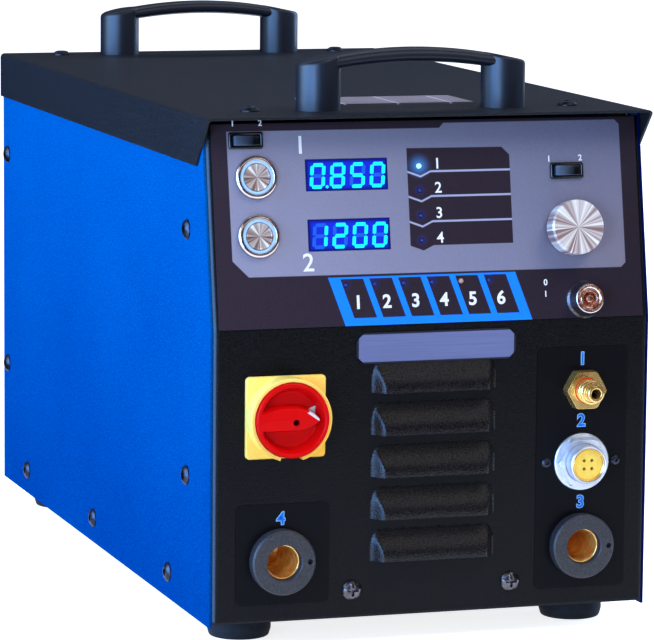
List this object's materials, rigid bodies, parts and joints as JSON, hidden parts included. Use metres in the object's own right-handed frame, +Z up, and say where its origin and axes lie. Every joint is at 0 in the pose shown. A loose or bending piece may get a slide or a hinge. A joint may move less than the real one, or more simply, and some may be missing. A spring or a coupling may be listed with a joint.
{
  "type": "stud welder",
  "caption": "Portable stud welder power unit: sheet-steel case, leaning control fascia, main switch, weld sockets, gas and control connectors, carrying handles and rubber feet.",
  "frame": {"origin": "on the floor, under the middle of the whole machine's box", "axes": "+X to the machine's right as seen from the front, +Y towards its rear, +Z up"},
  "size_m": [0.2816, 0.5758, 0.353],
  "materials": {
    "black_coat": "fine-textured powder coat",
    "blue_coat": "satin powder coat",
    "zinc_steel": "zinc plated",
    "handle_plastic": "satin moulded",
    "black_screw": "black oxide",
    "foot_rubber": "matt",
    "fascia_print": "satin printed film",
    "display_blue": "gloss window",
    "board_green": "solder mask",
    "brass_parts": "turned",
    "lamp_lens": "clear lens",
    "chrome_parts": "polished",
    "switch_black": "gloss moulded",
    "spun_aluminium": "spun",
    "switch_yellow": "moulded",
    "switch_red": "moulded",
    "moulded_black": "moulded",
    "connector_metal": "nickel plated",
    "insert_yellow": "moulded",
    "label_black": "satin film",
    "plate_grey": "satin film",
    "core_steel": "varnished laminations",
    "copper_parts": "bare copper",
    "can_blue": "sleeved can",
    "valve_grey": "painted",
    "pipe_plastic": "extruded"
  },
  "bodies": {
    "chassis": {"base_tray": "black_coat", "front_panel": "black_coat", "rear_panel": "black_coat", "left_side_panel": "blue_coat", "right_side_panel": "blue_coat", "top_cover": "black_coat", "top_rails": "zinc_steel", "front_handle": "handle_plastic", "rear_handle": "handle_plastic", "cover_screws": "black_screw", "side_screws": "black_screw", "front_screws": "black_screw", "feet": "foot_rubber", "foot_screws": "zinc_steel", "fascia_overlay": "fascia_print", "displays": "display_blue", "circuit_boards": "board_green", "board_standoffs": "brass_parts", "indicator_leds": "lamp_lens", "button_housings": "chrome_parts", "rocker_frames": "switch_black", "encoder_body": "zinc_steel", "key_switch_body": "chrome_parts", "isolator_plate": "switch_yellow", "isolator_block": "moulded_black", "socket_collars": "moulded_black", "ground_socket_contact": "brass_parts", "gun_socket_contact": "brass_parts", "lock_nuts": "zinc_steel", "gas_fittings": "brass_parts", "connector_shell": "connector_metal", "connector_nut": "connector_metal", "connector_insert": "insert_yellow", "socket_labels": "label_black", "blank_plates": "plate_grey", "fan_frame": "moulded_black", "fan_guard": "zinc_steel", "fan_screws": "zinc_steel", "transformer_core": "core_steel", "transformer_windings": "copper_parts", "capacitors": "can_blue", "output_busbars": "copper_parts", "deck": "zinc_steel", "heatsink": "spun_aluminium", "power_modules": "moulded_black", "gas_valve": "valve_grey", "gas_pipes": "pipe_plastic", "cable_gland": "moulded_black"},
    "upper_button": {"upper_button_cap": "chrome_parts"},
    "lower_button": {"lower_button_cap": "chrome_parts"},
    "left_rocker": {"left_rocker": "switch_black"},
    "right_rocker": {"right_rocker": "switch_black"},
    "dial_plunger": {"encoder_plunger": "zinc_steel"},
    "dial": {"dial_shaft": "zinc_steel", "dial_knob": "spun_aluminium"},
    "key": {"key_rotor": "zinc_steel"},
    "main_switch": {"isolator_handle": "switch_red", "isolator_shaft": "zinc_steel"},
    "fan": {"fan_rotor": "moulded_black"}
  },
  "joints": [
    {"name": "upper_button_press", "type": "slide", "parent": "chassis", "child": "upper_button", "axis": [0, 0.9848, -0.1736], "range_m": [0, 0.0015], "stiffness_N_per_m": 400},
    {"name": "lower_button_press", "type": "slide", "parent": "chassis", "child": "lower_button", "axis": [0, 0.9848, -0.1736], "range_m": [0, 0.0015], "stiffness_N_per_m": 400},
    {"name": "left_rocker_tilt", "type": "hinge", "parent": "chassis", "child": "left_rocker", "pos_m": [-0.1125, -0.24365, 0.30113], "axis": [0, 0.1736, 0.9848], "range_deg": [-14, 0]},
    {"name": "right_rocker_tilt", "type": "hinge", "parent": "chassis", "child": "right_rocker", "pos_m": [0.0882, -0.24749, 0.27937], "axis": [0, 0.1736, 0.9848], "range_deg": [-14, 0]},
    {"name": "dial_press", "type": "slide", "parent": "chassis", "child": "dial_plunger", "axis": [0, 0.9848, -0.1736], "range_m": [0, 0.001], "stiffness_N_per_m": 1500},
    {"name": "dial_turn", "type": "hinge", "parent": "dial_plunger", "child": "dial", "pos_m": [0.0897, -0.25452, 0.24527], "axis": [0, -0.9848, 0.1736], "continuous": true},
    {"name": "key_turn", "type": "hinge", "parent": "chassis", "child": "key", "pos_m": [0.0958, -0.262, 0.20283], "axis": [0, 0.9848, -0.1736], "range_deg": [0, 90]},
    {"name": "main_switch_turn", "type": "hinge", "parent": "chassis", "child": "main_switch", "pos_m": [-0.0929, -0.264, 0.1395], "axis": [0, -1, 0], "range_deg": [0, 90]},
    {"name": "fan_spin", "type": "hinge", "parent": "chassis", "child": "fan", "pos_m": [-0.045, 0.25, 0.1975], "axis": [0, 1, 0], "continuous": true}
  ]
}
